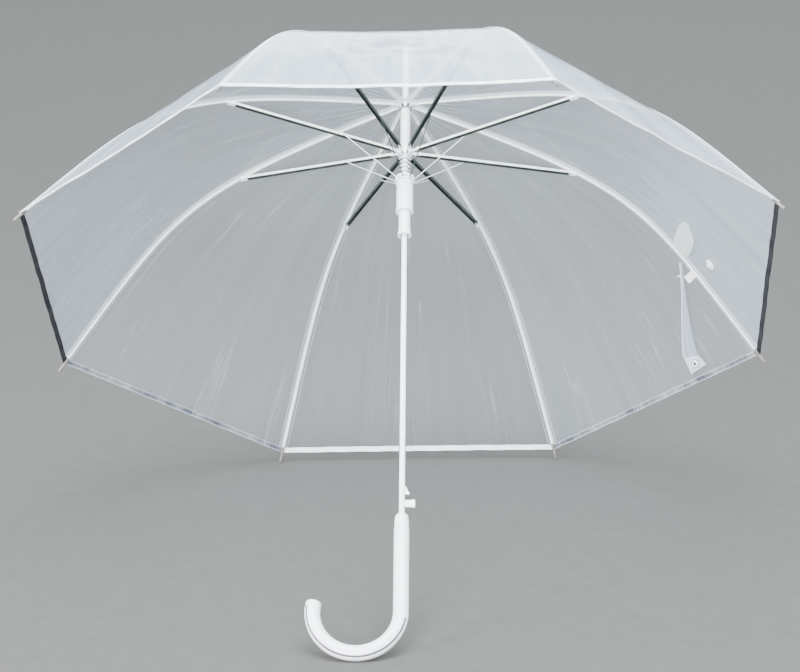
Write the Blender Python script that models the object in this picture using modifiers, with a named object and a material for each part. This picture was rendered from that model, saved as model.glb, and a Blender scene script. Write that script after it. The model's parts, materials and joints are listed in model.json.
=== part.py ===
"""Clear stick umbrella with a spring-opened frame, open and resting on two rib tips and its crook.

Everything is laid out in the shaft's own frame: its origin is the centre of the rib hinges in
the top notch, +Z runs up the shaft to the ferrule, and the crook opens towards -X. A radial
frame per rib has +X pointing out along that rib. One empty tilts the whole frame on the floor.
"""

import math

import bmesh
import bpy
from mathutils import Matrix, Vector

# Frame layout
RIB_COUNT = 8
RIB_STEP = 2 * math.pi / RIB_COUNT
FIRST_RIB_ANGLE = RIB_STEP / 2
GAP = 0.0003
SEGMENTS = 24

# Shaft, ferrule and handle: heights are along the shaft, measured from the rib hinges
SHAFT_RADIUS = 0.0042
SHAFT_WALL = 0.0006
SHAFT_TOP = 0.0075
SHAFT_BOTTOM = -0.660
FERRULE_TOP = 0.0942
COLLAR_TOP = -0.5977
COLLAR_BOTTOM = -0.6170
GRIP_RADIUS = 0.0096
CROOK_RADIUS = 0.0534
CROOK_START = -0.7276
CROOK_SWEEP = math.radians(191)

# Ribs: a cubic Bezier from the hinge to the corner of the film, in (radius, height)
RIB_HINGE_RADIUS = 0.0075
RIB_CURVE = ((0.0063, 0.0004), (0.332, -0.053), (0.336, -0.0743), (0.500, -0.276))
RIB_RADIUS = 0.0016
TIP_RADIUS = 0.0020
TIP_LENGTH = 0.014
JOINT_RADIUS = 0.243
JOINT_HEIGHT = -0.0500

# Hub, stretchers, runner and links
HUB_PIVOT_RADIUS = 0.0082
HUB_PIVOT_HEIGHT = -0.0720
CHANNEL_WIDTH = 0.0042
CHANNEL_WALL = 0.0005
CHANNEL_TOP = 0.0011
CHANNEL_BOTTOM = -0.0033
RUNNER_PIVOT_RADIUS = 0.0125
RUNNER_PIVOT_HEIGHT = -0.1155
LINK_REACH = 0.0780
LINK_DROP = 0.0014
LINK_SIDE = 0.0031
LINK_RADIUS = 0.0006

# Kick spring
SPRING_RADIUS = 0.0058
SPRING_WIRE = 0.0011
SPRING_TOP = -0.0791
SPRING_BOTTOM = -0.1500
SPRING_PITCH = 0.0062
POINTS_PER_TURN = 10

# Film
FILM_OFFSET = 0.0027
FILM_THICKNESS = 0.0004
FILM_START_RADIUS = 0.0102
FILM_COLUMNS = 4
FILM_ROWS = 10

# Catch and button, both on the +X side of the shaft
CATCH_TOP = -0.5601
CATCH_BOTTOM = -0.5706
CATCH_REACH = 0.0090
BUTTON_TOP = -0.5782
BUTTON_BOTTOM = -0.5886
BUTTON_REACH = 0.0162
SPRING_SIDE = 0.0020

# Closure strap, patch and tag beside the first rib: each place is (t, side) on the film
STRAP_ROOT = (0.745, 0.045)
STRAP_END = (0.979, 0.494)
STRAP_DEPTH = 0.0032
STRAP_THICKNESS = 0.0008
SNAP_PLACE = (0.1405, 0.0040)
PATCH_PLACE = (0.730, 0.045)
STUD_PLACE = (0.835, 0.371)
TAG_PLACE = (0.791, 0.074)
TAG_DEPTH = 0.0012
TAG_SIZE = (0.0110, 0.0160, 0.0006)


for old_object in list(bpy.data.objects):
    bpy.data.objects.remove(old_object, do_unlink=True)

parts = bpy.data.collections.new("stick_umbrella")
cutters = bpy.data.collections.new("stick_umbrella_cutters")
bpy.context.scene.collection.children.link(parts)
bpy.context.scene.collection.children.link(cutters)


def paint(name, colour, roughness, metallic=0.0, alpha=1.0):
    """A Principled material of one colour."""
    material = bpy.data.materials.new(name)
    material.use_nodes = True
    shader = material.node_tree.nodes["Principled BSDF"]
    shader.inputs["Base Color"].default_value = (*colour, 1.0)
    shader.inputs["Roughness"].default_value = roughness
    shader.inputs["Metallic"].default_value = metallic
    shader.inputs["Alpha"].default_value = alpha
    return material


WHITE_PLASTIC = paint("white_plastic", (0.90, 0.91, 0.92), 0.28)
WHITE_ENAMEL = paint("white_enamel", (0.93, 0.94, 0.95), 0.18)
PALE_ROD = paint("pale_rod", (0.86, 0.87, 0.83), 0.35)
PALE_CHANNEL = paint("channel_enamel", (0.85, 0.87, 0.84), 0.30)
SPRING_WHITE = paint("spring_white", (0.88, 0.88, 0.88), 0.30)
CLEAR_FILM = paint("clear_film", (0.80, 0.84, 0.88), 0.06, alpha=0.25)
STRAP_FILM = paint("strap_film", (0.72, 0.76, 0.80), 0.20, alpha=0.6)
PAPER_WHITE = paint("tag_paper", (0.92, 0.92, 0.92), 0.60)
STEEL = paint("spring_steel", (0.55, 0.56, 0.58), 0.30, metallic=1.0)


def place(obj, material, parent=None, collection=parts):
    """Link an object into a collection, paint it and hang it on its parent."""
    collection.objects.link(obj)
    if material is not None:
        obj.data.materials.clear()
        obj.data.materials.append(material)
    obj.parent = parent
    return obj


def as_cutter(obj):
    """A shape that only cuts or joins others."""
    obj.hide_render = True
    obj.display_type = "WIRE"
    return obj


def empty(name, location, parent, turn=0.0):
    """An empty at a joint, turned about the shaft by an angle."""
    pivot = bpy.data.objects.new(name, None)
    pivot.empty_display_size = 0.01
    parts.objects.link(pivot)
    pivot.location = location
    pivot.rotation_euler = (0, 0, turn)
    pivot.parent = parent
    return pivot


def radial(angle, radius, height):
    """A point at an angle about the shaft."""
    return Vector((radius * math.cos(angle), radius * math.sin(angle), height))


def smooth(mesh):
    """Smooth shading that keeps the sharp edges."""
    mesh.shade_smooth()
    mesh.set_sharp_from_angle(angle=math.radians(40))


def turned(name, outline, material, parent, closed=True, collection=parts):
    """A turned piece: (radius, height) points that run down its outer side, then up its bore."""
    mesh = bpy.data.meshes.new(name)
    points = [(r, 0.0, z) for r, z in outline]
    edges = [(i, i + 1) for i in range(len(points) - 1)]
    if closed:
        edges.append((len(points) - 1, 0))
    mesh.from_pydata(points, edges, [])
    obj = place(bpy.data.objects.new(name, mesh), material, parent, collection)
    screw = obj.modifiers.new("Turn", "SCREW")
    screw.angle = 2 * math.pi
    screw.steps = SEGMENTS
    screw.render_steps = SEGMENTS
    screw.use_merge_vertices = True
    screw.merge_threshold = 0.00002
    return obj


def box_mesh(name, boxes):
    """Boxes that don't touch, each given as (centre, size, turn about Z)."""
    bm = bmesh.new()
    for centre, size, turn in boxes:
        made = bmesh.ops.create_cube(bm, size=1.0)["verts"]
        shape = Matrix.Rotation(turn, 4, "Z") @ Matrix.Translation(centre) @ Matrix.Diagonal((*size, 1.0))
        bmesh.ops.transform(bm, matrix=shape, verts=made)
    mesh = bpy.data.meshes.new(name)
    bm.to_mesh(mesh)
    bm.free()
    return mesh


def join_or_cut(obj, other, operation):
    """A Boolean with a cutter."""
    step = obj.modifiers.new(operation.title(), "BOOLEAN")
    step.operation = operation
    step.solver = "EXACT"
    step.object = as_cutter(other)
    return obj


def box_tool(name, boxes, parent=None):
    """A cutter made of boxes."""
    return place(bpy.data.objects.new(name, box_mesh(name, boxes)), None, parent, cutters)


def radial_slots(name, inner, outer, width, low, high, parent, side=0.0):
    """One slot cutter for each rib, from an inner to an outer radius."""
    middle = ((inner + outer) / 2, side, (low + high) / 2)
    size = (outer - inner, width, high - low)
    turns = [FIRST_RIB_ANGLE + RIB_STEP * i for i in range(RIB_COUNT)]
    return box_tool(name, [(middle, size, turn) for turn in turns], parent)


def wire(name, points, radius, resolution=1, thickness=None):
    """A round wire through points, as a closed mesh. thickness scales the radius at each point."""
    curve = bpy.data.curves.new(name, "CURVE")
    curve.dimensions = "3D"
    curve.bevel_depth = radius
    curve.bevel_resolution = resolution
    curve.use_fill_caps = True
    spline = curve.splines.new("POLY")
    spline.points.add(len(points) - 1)
    for i, point in enumerate(points):
        spline.points[i].co = (*point, 1.0)
        spline.points[i].radius = thickness[i] if thickness else 1.0
    return mesh_from_curve(name, curve)


def plate(name, outline, thickness):
    """A flat plate: an outline in its own XY plane, thick along Z."""
    curve = bpy.data.curves.new(name, "CURVE")
    curve.dimensions = "2D"
    curve.fill_mode = "BOTH"
    curve.extrude = thickness / 2
    spline = curve.splines.new("POLY")
    spline.points.add(len(outline) - 1)
    for i, (x, y) in enumerate(outline):
        spline.points[i].co = (x, y, 0.0, 1.0)
    spline.use_cyclic_u = True
    return mesh_from_curve(name, curve)


def mesh_from_curve(name, curve):
    """The curve's solid with its caps welded on."""
    holder = bpy.data.objects.new(name, curve)
    bpy.context.scene.collection.objects.link(holder)
    bpy.context.view_layer.update()
    evaluated = holder.evaluated_get(bpy.context.evaluated_depsgraph_get())
    mesh = bpy.data.meshes.new_from_object(evaluated)
    bpy.data.objects.remove(holder, do_unlink=True)
    bpy.data.curves.remove(curve)
    bm = bmesh.new()
    bm.from_mesh(mesh)
    bmesh.ops.remove_doubles(bm, verts=bm.verts, dist=0.00001)
    bmesh.ops.recalc_face_normals(bm, faces=bm.faces)
    bm.to_mesh(mesh)
    bm.free()
    mesh.name = name
    smooth(mesh)
    return mesh


def baked(obj):
    """The mesh that an object's modifiers make; the object and its name are given up."""
    bpy.context.view_layer.update()
    evaluated = obj.evaluated_get(bpy.context.evaluated_depsgraph_get())
    mesh = bpy.data.meshes.new_from_object(evaluated)
    bpy.data.objects.remove(obj, do_unlink=True)
    return mesh


def rib_point(t):
    """The rib's centre line as (radius, height), t from 0 at the hinge to 1 at the film's corner."""
    weights = ((1 - t) ** 3, 3 * (1 - t) ** 2 * t, 3 * (1 - t) * t**2, t**3)
    return [sum(w * p[axis] for w, p in zip(weights, RIB_CURVE)) for axis in (0, 1)]


def rib_tangent(t):
    """The unit direction of the centre line."""
    step = 0.001
    before = rib_point(max(t - step, 0.0))
    after = rib_point(min(t + step, 1.0))
    return Vector((after[0] - before[0], after[1] - before[1])).normalized()


def film_point(t, side):
    """A point of the taut film: side 0 is above the rib, side 1 is half-way to the next rib."""
    radius, height = rib_point(t)
    along = rib_tangent(t)
    radius -= along.y * FILM_OFFSET
    height += along.x * FILM_OFFSET
    half = RIB_STEP / 2
    reach = radius * math.sin(half) * math.cos(half)
    inset = 0.7 * GAP / reach
    share = inset + side * (1 - 2 * inset)
    return Vector((radius - share * radius * math.sin(half) ** 2, share * reach, height))


def build_shaft(frame):
    """The tube, with slots for the catch and the button, and what is fixed to its ends."""
    inner = SHAFT_RADIUS - SHAFT_WALL
    tube = turned(
        "shaft_tube",
        [
            (SHAFT_RADIUS, SHAFT_TOP),
            (SHAFT_RADIUS, SHAFT_BOTTOM),
            (inner, SHAFT_BOTTOM),
            (inner, SHAFT_TOP),
        ],
        WHITE_ENAMEL,
        frame,
    )
    slots = []
    for top, bottom, width in ((CATCH_TOP, CATCH_BOTTOM, 0.0026), (BUTTON_TOP, BUTTON_BOTTOM, 0.0042)):
        centre = (SHAFT_RADIUS, 0, (top + bottom) / 2)
        slots.append((centre, (0.0036, width, top - bottom + 3 * GAP), 0.0))
    join_or_cut(tube, box_tool("tube_slots", slots, frame), "DIFFERENCE")

    plug_end = -0.012
    ferrule = [
        (0.0033, plug_end),
        (0.0033, SHAFT_TOP + GAP),
        (0.0066, SHAFT_TOP + GAP),
        (0.0066, SHAFT_TOP + 0.0022),
        (0.0046, SHAFT_TOP + 0.0042),
        (0.0041, FERRULE_TOP - 0.0070),
        (0.0046, FERRULE_TOP - 0.0064),
        (0.0044, FERRULE_TOP - 0.0012),
        (0.0034, FERRULE_TOP),
    ]
    ferrule = [(0.0, FERRULE_TOP), *reversed(ferrule), (0.0, plug_end)]
    turned("ferrule", ferrule, WHITE_PLASTIC, frame, closed=False)
    cap_bore = SHAFT_RADIUS + GAP
    turned(
        "crown_cap",
        [
            (cap_bore, 0.0072),
            (0.0080, 0.0072),
            (0.0118, 0.0056),
            (0.0132, 0.0042),
            (0.0132, 0.0038),
            (cap_bore, 0.0038),
        ],
        WHITE_PLASTIC,
        frame,
    )
    notch = turned(
        "top_notch",
        [
            (cap_bore, 0.0033),
            (0.0094, 0.0033),
            (0.0096, 0.0028),
            (0.0096, -0.0048),
            (0.0088, -0.0056),
            (cap_bore, -0.0056),
        ],
        WHITE_PLASTIC,
        frame,
    )
    slot_width = 2 * (RIB_RADIUS + GAP)
    slots = radial_slots("notch_slots", 0.0056, 0.014, slot_width, -0.010, 0.0024, frame)
    join_or_cut(notch, slots, "DIFFERENCE")


def build_handle(frame):
    """The collar and the crook, both bored for the tube."""
    bore = SHAFT_RADIUS + GAP
    turned(
        "handle_collar",
        [
            (bore, COLLAR_TOP),
            (0.0062, COLLAR_TOP - 0.0004),
            (0.0079, COLLAR_TOP - 0.0022),
            (0.0088, COLLAR_TOP - 0.0060),
            (0.0091, COLLAR_TOP - 0.0120),
            (0.0091, COLLAR_BOTTOM + 0.0006),
            (0.0086, COLLAR_BOTTOM),
            (bore, COLLAR_BOTTOM),
        ],
        WHITE_PLASTIC,
        frame,
    )
    top = COLLAR_BOTTOM - GAP
    path = [(0, 0, top), (0, 0, top - 0.05), (0, 0, CROOK_START)]
    arc_steps = 16
    for i in range(1, arc_steps + 1):
        angle = CROOK_SWEEP * i / arc_steps
        reach = CROOK_RADIUS * (1 - math.cos(angle))
        path.append((-reach, 0, CROOK_START - CROOK_RADIUS * math.sin(angle)))
    leaving = Vector((-math.sin(CROOK_SWEEP), 0, -math.cos(CROOK_SWEEP)))
    end = Vector(path[-1])
    path += [end + leaving * 0.0030, end + leaving * 0.0042]
    scales = [1.0] * (len(path) - 1) + [0.86]
    crook_mesh = wire("handle_crook", path, GRIP_RADIUS, 4, scales)
    crook = place(bpy.data.objects.new("handle_crook", crook_mesh), WHITE_PLASTIC, frame)
    depth = SHAFT_BOTTOM - 2 * GAP
    bore_tool = turned(
        "crook_bore",
        [(0.0, top + 0.01), (bore, top + 0.01), (bore, depth), (0.0, depth)],
        None,
        frame,
        closed=False,
        collection=cutters,
    )
    join_or_cut(crook, bore_tool, "DIFFERENCE")


def build_hub(frame):
    """The sliding hub with its neck, and the kick spring between it and the runner."""
    pivot = empty("hub_slide", (0, 0, HUB_PIVOT_HEIGHT), frame)
    bore = SHAFT_RADIUS + GAP
    hub = turned(
        "stretcher_hub",
        [
            (bore, 0.0052),
            (0.0084, 0.0052),
            (0.0092, 0.0044),
            (0.0092, -0.0044),
            (0.0084, -0.0056),
            (bore, -0.0056),
        ],
        WHITE_PLASTIC,
        pivot,
    )
    join_or_cut(hub, radial_slots("hub_slots", 0.0060, 0.014, 0.0022, -0.010, 0.010, pivot), "DIFFERENCE")
    neck_top = -HUB_PIVOT_HEIGHT - 0.0056 - GAP
    turned(
        "hub_neck",
        [
            (bore, neck_top),
            (0.0061, neck_top),
            (0.0065, neck_top - 0.0010),
            (0.0065, 0.0066),
            (0.0061, 0.0052 + GAP),
            (bore, 0.0052 + GAP),
        ],
        WHITE_PLASTIC,
        pivot,
    )
    turns = (SPRING_TOP - SPRING_BOTTOM) / SPRING_PITCH
    steps = int(turns * POINTS_PER_TURN)
    coil = []
    for i in range(steps + 1):
        share = i / POINTS_PER_TURN
        height = SPRING_TOP - SPRING_PITCH * share
        coil.append(radial(2 * math.pi * share, SPRING_RADIUS, height) - pivot.location)
    spring = wire("kick_spring", coil, SPRING_WIRE)
    place(bpy.data.objects.new("kick_spring", spring), SPRING_WHITE, pivot)
    return pivot


def build_runner(frame):
    """The runner: a slotted collar for the links, a wide body and a sleeve with the catch window."""
    pivot = empty("runner_slide", (0, 0, RUNNER_PIVOT_HEIGHT), frame)
    spring_bore = SPRING_RADIUS + SPRING_WIRE + GAP
    collar = turned(
        "runner_collar",
        [
            (spring_bore, 0.0042),
            (0.0122, 0.0042),
            (0.0128, 0.0036),
            (0.0128, 0.0016),
            (0.0106, 0.0010),
            (0.0106, -0.0010),
            (0.0132, -0.0016),
            (0.0132, -0.0034),
            (spring_bore, -0.0034),
        ],
        WHITE_PLASTIC,
        pivot,
    )
    slots = radial_slots("collar_slots", 0.0096, 0.018, 0.0020, -0.010, 0.010, pivot, LINK_SIDE)
    join_or_cut(collar, slots, "DIFFERENCE")
    sleeve_bore = SHAFT_RADIUS + GAP
    body_top = -0.0034 - GAP
    body_bottom = -0.0490
    shelf = SPRING_BOTTOM - RUNNER_PIVOT_HEIGHT - SPRING_WIRE - GAP
    turned(
        "runner_body",
        [
            (spring_bore, body_top),
            (0.0107, body_top),
            (0.0111, body_top - 0.0010),
            (0.0111, body_bottom + 0.0060),
            (0.0117, body_bottom),
            (sleeve_bore, body_bottom),
            (sleeve_bore, shelf),
            (spring_bore, shelf),
        ],
        WHITE_PLASTIC,
        pivot,
    )
    sleeve_top = body_bottom - GAP
    sleeve_bottom = -0.0847
    sleeve = turned(
        "runner_sleeve",
        [
            (sleeve_bore, sleeve_top),
            (0.0077, sleeve_top),
            (0.0078, sleeve_bottom + 0.0080),
            (0.0090, sleeve_bottom + 0.0022),
            (0.0090, sleeve_bottom),
            (sleeve_bore + 0.0012, sleeve_bottom),
            (sleeve_bore, sleeve_bottom + 0.0014),
        ],
        WHITE_PLASTIC,
        pivot,
    )
    window_top = sleeve_bottom + 0.0146
    window_bottom = sleeve_bottom + 0.0030
    centre = (0.0085, 0, (window_top + window_bottom) / 2)
    size = (0.009, 0.0030, window_top - window_bottom)
    join_or_cut(sleeve, box_tool("sleeve_window", [(centre, size, 0.0)], pivot), "DIFFERENCE")
    return pivot


def stretcher_mesh():
    """A U channel with a tongue at the hub and a fork round the rib, along +X from the hub pivot."""
    length = math.hypot(JOINT_RADIUS - HUB_PIVOT_RADIUS, JOINT_HEIGHT - HUB_PIVOT_HEIGHT)
    start, stop = 0.0085, length - 0.0090
    side = CHANNEL_WIDTH / 2
    inside = side - CHANNEL_WALL
    web = CHANNEL_TOP - CHANNEL_WALL
    outline = [
        (-side, CHANNEL_BOTTOM),
        (-side, CHANNEL_TOP),
        (side, CHANNEL_TOP),
        (side, CHANNEL_BOTTOM),
        (inside, CHANNEL_BOTTOM),
        (inside, web),
        (-inside, web),
        (-inside, CHANNEL_BOTTOM),
    ]
    channel_data = plate("channel", outline, stop - start)
    lay_along_x = Matrix(((0, 0, 1, (start + stop) / 2), (1, 0, 0, 0), (0, 1, 0, 0), (0, 0, 0, 1)))
    channel_data.transform(lay_along_x)
    channel = place(bpy.data.objects.new("channel", channel_data), None)
    tongue = [((0.0048, 0, -0.00065), (0.0126, 0.0016, 0.0034), 0.0)]
    join_or_cut(channel, box_tool("tongue", tongue), "UNION")
    ear_side = RIB_RADIUS + GAP + 0.0004
    bridge = [((length - 0.0075, 0, -0.00175), (0.0060, 2 * ear_side + 0.0004, 0.0030), 0.0)]
    join_or_cut(channel, box_tool("fork_bridge", bridge), "UNION")
    ears = [((length - 0.0042, s * ear_side, -0.0014), (0.0108, 0.0008, 0.0042), 0.0) for s in (-1, 1)]
    join_or_cut(channel, box_tool("fork_ears", ears), "UNION")
    return baked(channel)


def build_stretchers(frame):
    """Eight stretchers, each hinged on the hub."""
    mesh = stretcher_mesh()
    rise = math.atan2(JOINT_HEIGHT - HUB_PIVOT_HEIGHT, JOINT_RADIUS - HUB_PIVOT_RADIUS)
    for i in range(RIB_COUNT):
        angle = FIRST_RIB_ANGLE + RIB_STEP * i
        place_at = radial(angle, HUB_PIVOT_RADIUS, HUB_PIVOT_HEIGHT)
        obj = place(bpy.data.objects.new(f"stretcher_{i + 1}", mesh), PALE_CHANNEL, frame)
        obj.location = place_at
        obj.rotation_euler = (0, -rise, angle)


def build_links(frame):
    """Eight wire links from the runner to the stretchers, each beside its stretcher's channel."""
    slope = math.atan2(JOINT_HEIGHT - HUB_PIVOT_HEIGHT, JOINT_RADIUS - HUB_PIVOT_RADIUS)
    end_radius = HUB_PIVOT_RADIUS + LINK_REACH * math.cos(slope) - RUNNER_PIVOT_RADIUS
    end_height = HUB_PIVOT_HEIGHT + LINK_REACH * math.sin(slope) - LINK_DROP - RUNNER_PIVOT_HEIGHT
    end = Vector((end_radius, LINK_SIDE, end_height))
    along = end.copy()
    along.y = 0
    along.normalize()
    start = Vector((0, LINK_SIDE, 0))
    foot = start + Vector((-0.0009, 0, -0.0004))
    mesh = wire("link", [foot, start, start + along * 0.004, end - along * 0.004, end], LINK_RADIUS)
    for i in range(RIB_COUNT):
        angle = FIRST_RIB_ANGLE + RIB_STEP * i
        obj = place(bpy.data.objects.new(f"link_{i + 1}", mesh), WHITE_ENAMEL, frame)
        obj.location = radial(angle, RUNNER_PIVOT_RADIUS, RUNNER_PIVOT_HEIGHT)
        obj.rotation_euler = (0, 0, angle)


def rib_mesh():
    """The rib rod with its thicker tip, laid out from its hinge."""
    steps = 13
    points = []
    thickness = []
    for i in range(steps + 1):
        radius, height = rib_point(i / steps)
        points.append(Vector((radius - RIB_HINGE_RADIUS, 0, height)))
        thickness.append(1.0)
    along = rib_tangent(1.0)
    along = Vector((along.x, 0, along.y))
    corner = points.pop()
    thickness.pop()
    tip = TIP_RADIUS / RIB_RADIUS
    points += [corner - along * 0.0081, corner - along * 0.0080, corner + along * (TIP_LENGTH - 0.0006)]
    points.append(corner + along * TIP_LENGTH)
    thickness += [1.0, tip, tip, 0.7 * tip]
    return wire("rib", points, RIB_RADIUS, 1, thickness)


def film_mesh(mirrored):
    """Half a film panel, from above its rib to half-way to the next."""
    start = next(i / 2000 for i in range(2000) if rib_point(i / 2000)[0] > FILM_START_RADIUS)
    bm = bmesh.new()
    bmesh.ops.create_grid(bm, x_segments=FILM_ROWS, y_segments=FILM_COLUMNS, size=0.5)
    for vert in bm.verts:
        t = start + (vert.co.x + 0.5) * (1 - start)
        point = film_point(t, vert.co.y + 0.5)
        vert.co = point - Vector((RIB_HINGE_RADIUS, 0, 0))
        if mirrored:
            vert.co.y = -vert.co.y
    if mirrored:
        bmesh.ops.reverse_faces(bm, faces=bm.faces)
    mesh = bpy.data.meshes.new("film_mirrored" if mirrored else "film")
    bm.to_mesh(mesh)
    bm.free()
    return mesh


def build_ribs(frame):
    """Eight ribs hinged in the notch, each with the film panel halves on its two sides."""
    rod = rib_mesh()
    halves = {"a": film_mesh(False), "b": film_mesh(True)}
    pivots = []
    for i in range(RIB_COUNT):
        angle = FIRST_RIB_ANGLE + RIB_STEP * i
        pivot = empty(f"rib_hinge_{i + 1}", radial(angle, RIB_HINGE_RADIUS, 0), frame, angle)
        pivots.append(pivot)
        place(bpy.data.objects.new(f"rib_{i + 1}", rod), PALE_ROD, pivot)
        for side, mesh in halves.items():
            half = place(bpy.data.objects.new(f"film_panel_{i + 1}{side}", mesh), CLEAR_FILM, pivot)
            skin = half.modifiers.new("Skin", "SOLIDIFY")
            skin.thickness = FILM_THICKNESS
            skin.offset = 0
            skin.use_even_offset = True
    return pivots


def build_catch(frame):
    """The catch wedge, the release button and the leaf spring that holds them out."""
    foot = SPRING_SIDE + GAP
    wedge = plate(
        "catch",
        [
            (foot, CATCH_BOTTOM),
            (CATCH_REACH, CATCH_BOTTOM),
            (CATCH_REACH, CATCH_BOTTOM + 0.0012),
            (SHAFT_RADIUS + 0.0006, CATCH_TOP),
            (foot, CATCH_TOP),
        ],
        0.0018,
    )
    stand_up = Matrix(((1, 0, 0, 0), (0, 0, -1, 0), (0, 1, 0, 0), (0, 0, 0, 1)))
    wedge.transform(stand_up)
    place(bpy.data.objects.new("catch", wedge), WHITE_PLASTIC, frame)
    waist = 0.0009
    thumb = plate(
        "release_button",
        [
            (foot, BUTTON_BOTTOM + waist),
            (0.0110, BUTTON_BOTTOM + waist),
            (0.0145, BUTTON_BOTTOM),
            (BUTTON_REACH - 0.0006, BUTTON_BOTTOM),
            (BUTTON_REACH, BUTTON_BOTTOM + 0.0030),
            (BUTTON_REACH, BUTTON_TOP - 0.0030),
            (BUTTON_REACH - 0.0006, BUTTON_TOP),
            (0.0145, BUTTON_TOP),
            (0.0110, BUTTON_TOP - waist),
            (foot, BUTTON_TOP - waist),
        ],
        0.0034,
    )
    thumb.transform(stand_up)
    place(bpy.data.objects.new("release_button", thumb), WHITE_PLASTIC, frame)

    leaf = 0.0004
    far_wall = -0.0028
    low = BUTTON_BOTTOM - 0.010
    high = CATCH_TOP + 0.008
    strip = plate(
        "leaf_spring",
        [
            (far_wall, high),
            (far_wall, low + 0.002),
            (far_wall + 0.001, low),
            (SPRING_SIDE - 0.001, low),
            (SPRING_SIDE, low + 0.002),
            (SPRING_SIDE, high - 0.004),
            (SPRING_SIDE - leaf, high - 0.004),
            (SPRING_SIDE - leaf, low + 0.0022),
            (SPRING_SIDE - 0.001 - leaf / 2, low + leaf),
            (far_wall + 0.001 + leaf / 2, low + leaf),
            (far_wall + leaf, low + 0.0022),
            (far_wall + leaf, high),
        ],
        0.0024,
    )
    strip.transform(stand_up)
    place(bpy.data.objects.new("leaf_spring", strip), STEEL, frame)


def film_frame(t, side, depth):
    """A frame on panel "a" in its rib's own axes: X down to the hem, Y across, Z out of the film."""
    here = film_point(t, side)
    along = film_point(t + 0.002, side) - film_point(t - 0.002, side)
    across = film_point(t, side + 0.01) - film_point(t, side)
    out = along.cross(across).normalized()
    along.normalize()
    across = out.cross(along)
    origin = here - out * depth - Vector((RIB_HINGE_RADIUS, 0, 0))
    return Matrix.Translation(origin) @ Matrix((along, across, out)).transposed().to_4x4()


def mirror_frame(matrix):
    """The same frame on panel "b", with its Y axis reversed so that it stays right-handed."""
    flip = Matrix.Diagonal((1, -1, 1, 1))
    return flip @ matrix @ flip


def build_strap(rib_pivot):
    """The closure strap with its snap, the patch that holds the snap's stud, and a blank tag."""
    root = film_frame(*STRAP_ROOT, STRAP_DEPTH)
    tail = film_frame(*STRAP_END, STRAP_DEPTH)
    down = (tail.translation - root.translation).normalized()
    out = tail.col[2].to_3d()
    out = (out - down * out.dot(down)).normalized()
    across = out.cross(down)
    basis = Matrix((down, across, out)).transposed().to_4x4()
    outline = [
        (0.0, -0.0020),
        (0.030, 0.0000),
        (0.092, 0.0012),
        (0.128, -0.0023),
        (0.142, -0.0132),
        (0.1556, 0.0131),
        (0.130, 0.0215),
        (0.119, 0.0212),
        (0.036, 0.0058),
        (0.0, 0.0020),
    ]
    pivot = empty("strap_hinge", root.translation, rib_pivot)
    pivot.rotation_euler = basis.to_euler()
    strap = plate("closure_strap", outline, STRAP_THICKNESS)
    place(bpy.data.objects.new("closure_strap", strap), STRAP_FILM, pivot)
    back = -STRAP_THICKNESS / 2 - GAP
    socket = turned(
        "snap_socket",
        [(0.0020, back), (0.0050, back), (0.0046, back - 0.0014), (0.0020, back - 0.0018)],
        WHITE_PLASTIC,
        pivot,
    )
    socket.location = (*SNAP_PLACE, 0)

    patch_outline = [
        (-0.0125, -0.0020),
        (-0.0215, -0.0190),
        (-0.0245, -0.0500),
        (-0.0194, -0.0815),
        (-0.0040, -0.0770),
        (0.0070, -0.0521),
        (0.0095, -0.0285),
        (0.0070, -0.0020),
    ]
    patch_data = plate("strap_patch", patch_outline, STRAP_THICKNESS)
    patch = place(bpy.data.objects.new("strap_patch", patch_data), STRAP_FILM, rib_pivot)
    patch.matrix_basis = mirror_frame(film_frame(*PATCH_PLACE, STRAP_DEPTH))
    top = -STRAP_THICKNESS
    stud = turned(
        "snap_stud",
        [(0.0, top), (0.0052, top), (0.0052, top - 0.0010), (0.0022, top - 0.0026), (0.0, top - 0.0026)],
        WHITE_PLASTIC,
        rib_pivot,
        closed=False,
    )
    stud.matrix_basis = mirror_frame(film_frame(*STUD_PLACE, 0.0))

    tag_mesh = box_mesh("tag", [((0, 0, 0), TAG_SIZE, 0.0)])
    tag = place(bpy.data.objects.new("blank_tag", tag_mesh), PAPER_WHITE, rib_pivot)
    tag.matrix_basis = film_frame(*TAG_PLACE, TAG_DEPTH)


def lean_angle():
    """The shaft's angle above the floor when two rib tips and the crook touch it."""
    tip = rib_point(1.0)
    along = rib_tangent(1.0)
    tip_radius = tip[0] + along.x * TIP_LENGTH
    tip_depth = -(tip[1] + along.y * TIP_LENGTH)
    low_reach = tip_radius * math.cos(RIB_STEP / 2)
    crook_depth = CROOK_RADIUS - CROOK_START
    lever = math.hypot(low_reach, crook_depth - tip_depth)
    offset = math.asin((0.8 * TIP_RADIUS - GRIP_RADIUS) / lever)
    return math.atan2(low_reach, crook_depth - tip_depth) + offset


def stand_on_floor(frame):
    """Move the frame so that the model's box has its bottom centre at the world's origin."""
    bpy.context.view_layer.update()
    graph = bpy.context.evaluated_depsgraph_get()
    low = Vector((1e9, 1e9, 1e9))
    high = -low
    for obj in parts.objects:
        if obj.type != "MESH":
            continue
        for vert in obj.evaluated_get(graph).data.vertices:
            point = obj.matrix_world @ vert.co
            low = Vector(map(min, low, point))
            high = Vector(map(max, high, point))
    frame.location -= Vector(((low.x + high.x) / 2, (low.y + high.y) / 2, low.z))


def main():
    frame = empty("umbrella_frame", (0, 0, 0), None)
    frame.rotation_euler = (lean_angle() - math.pi / 2, 0, 0)
    build_shaft(frame)
    build_handle(frame)
    build_hub(frame)
    build_runner(frame)
    build_stretchers(frame)
    build_links(frame)
    pivots = build_ribs(frame)
    build_catch(frame)
    build_strap(pivots[0])
    stand_on_floor(frame)


main()
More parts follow.
